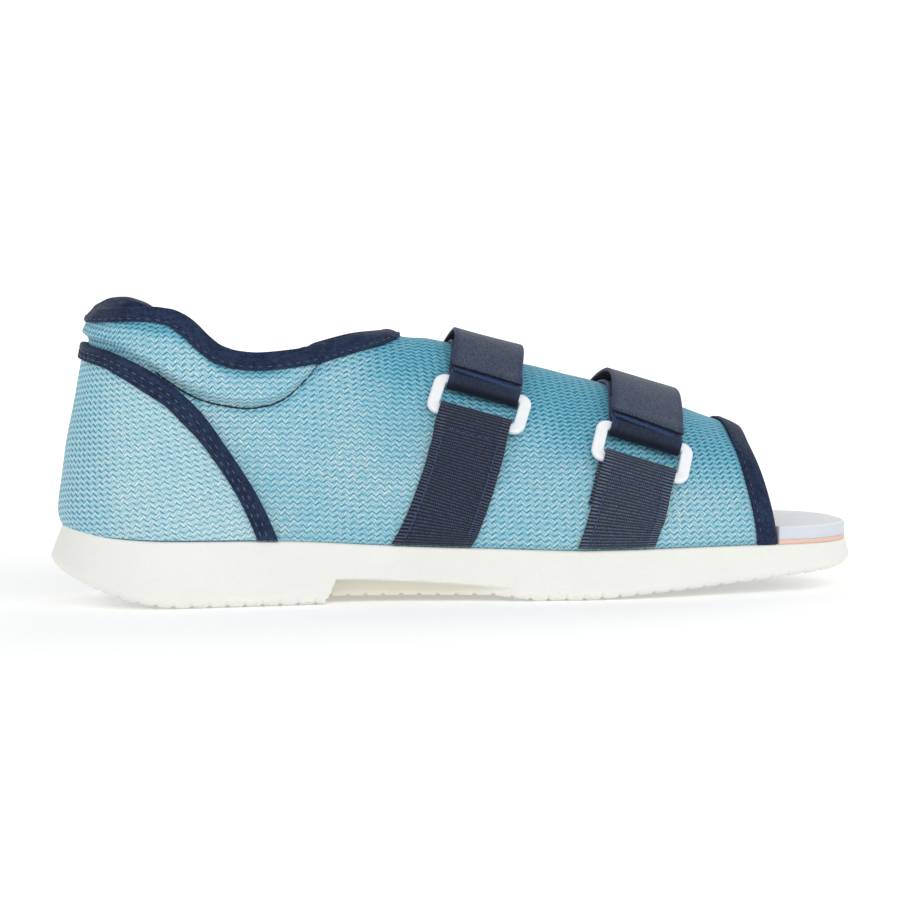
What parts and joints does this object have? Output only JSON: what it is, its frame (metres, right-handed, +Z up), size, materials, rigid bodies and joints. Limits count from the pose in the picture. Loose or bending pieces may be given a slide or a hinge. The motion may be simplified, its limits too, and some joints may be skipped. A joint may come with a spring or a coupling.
{
  "type": "post operative shoe",
  "caption": "Open-toed post operative shoe with a mesh upper, padded collar, hook and loop straps through rings, and a thick moulded sole.",
  "frame": {"origin": "on the floor under the middle of the sole's length, on the shoe's middle plane", "axes": "+X points to the toe, -Y is the side on which the straps end, +Z is up; the sole's bottom is at z = 0"},
  "size_m": [0.278, 0.1082, 0.1045],
  "materials": {
    "sole": "satin moulded foam rubber, cream white",
    "board": "matt fibre board, pale salmon",
    "insole": "smooth matt foam sheet, white",
    "mesh": "light blue knitted mesh with a zigzag weave",
    "tape": "navy woven tape and strap, slight sheen",
    "webbing": "charcoal navy ribbed webbing, matt",
    "ring": "white moulded plastic, semi gloss"
  },
  "bodies": {
    "root": {"outsole": "sole", "insole_board": "board", "insole": "insole", "upper": "mesh", "heel_counter": "mesh", "counter_tape": "tape", "collar_tape": "tape", "toe_tape": "tape", "webbing_rear_near": "webbing", "webbing_rear_far": "webbing", "webbing_front_near": "webbing", "webbing_front_far": "webbing", "ring_rear_near": "ring", "ring_rear_far": "ring", "ring_front_near": "ring", "ring_front_far": "ring", "strap_rear": "tape", "strap_front": "tape", "hook_patch_rear": "tape", "hook_patch_front": "tape"}
  },
  "joints": []
}
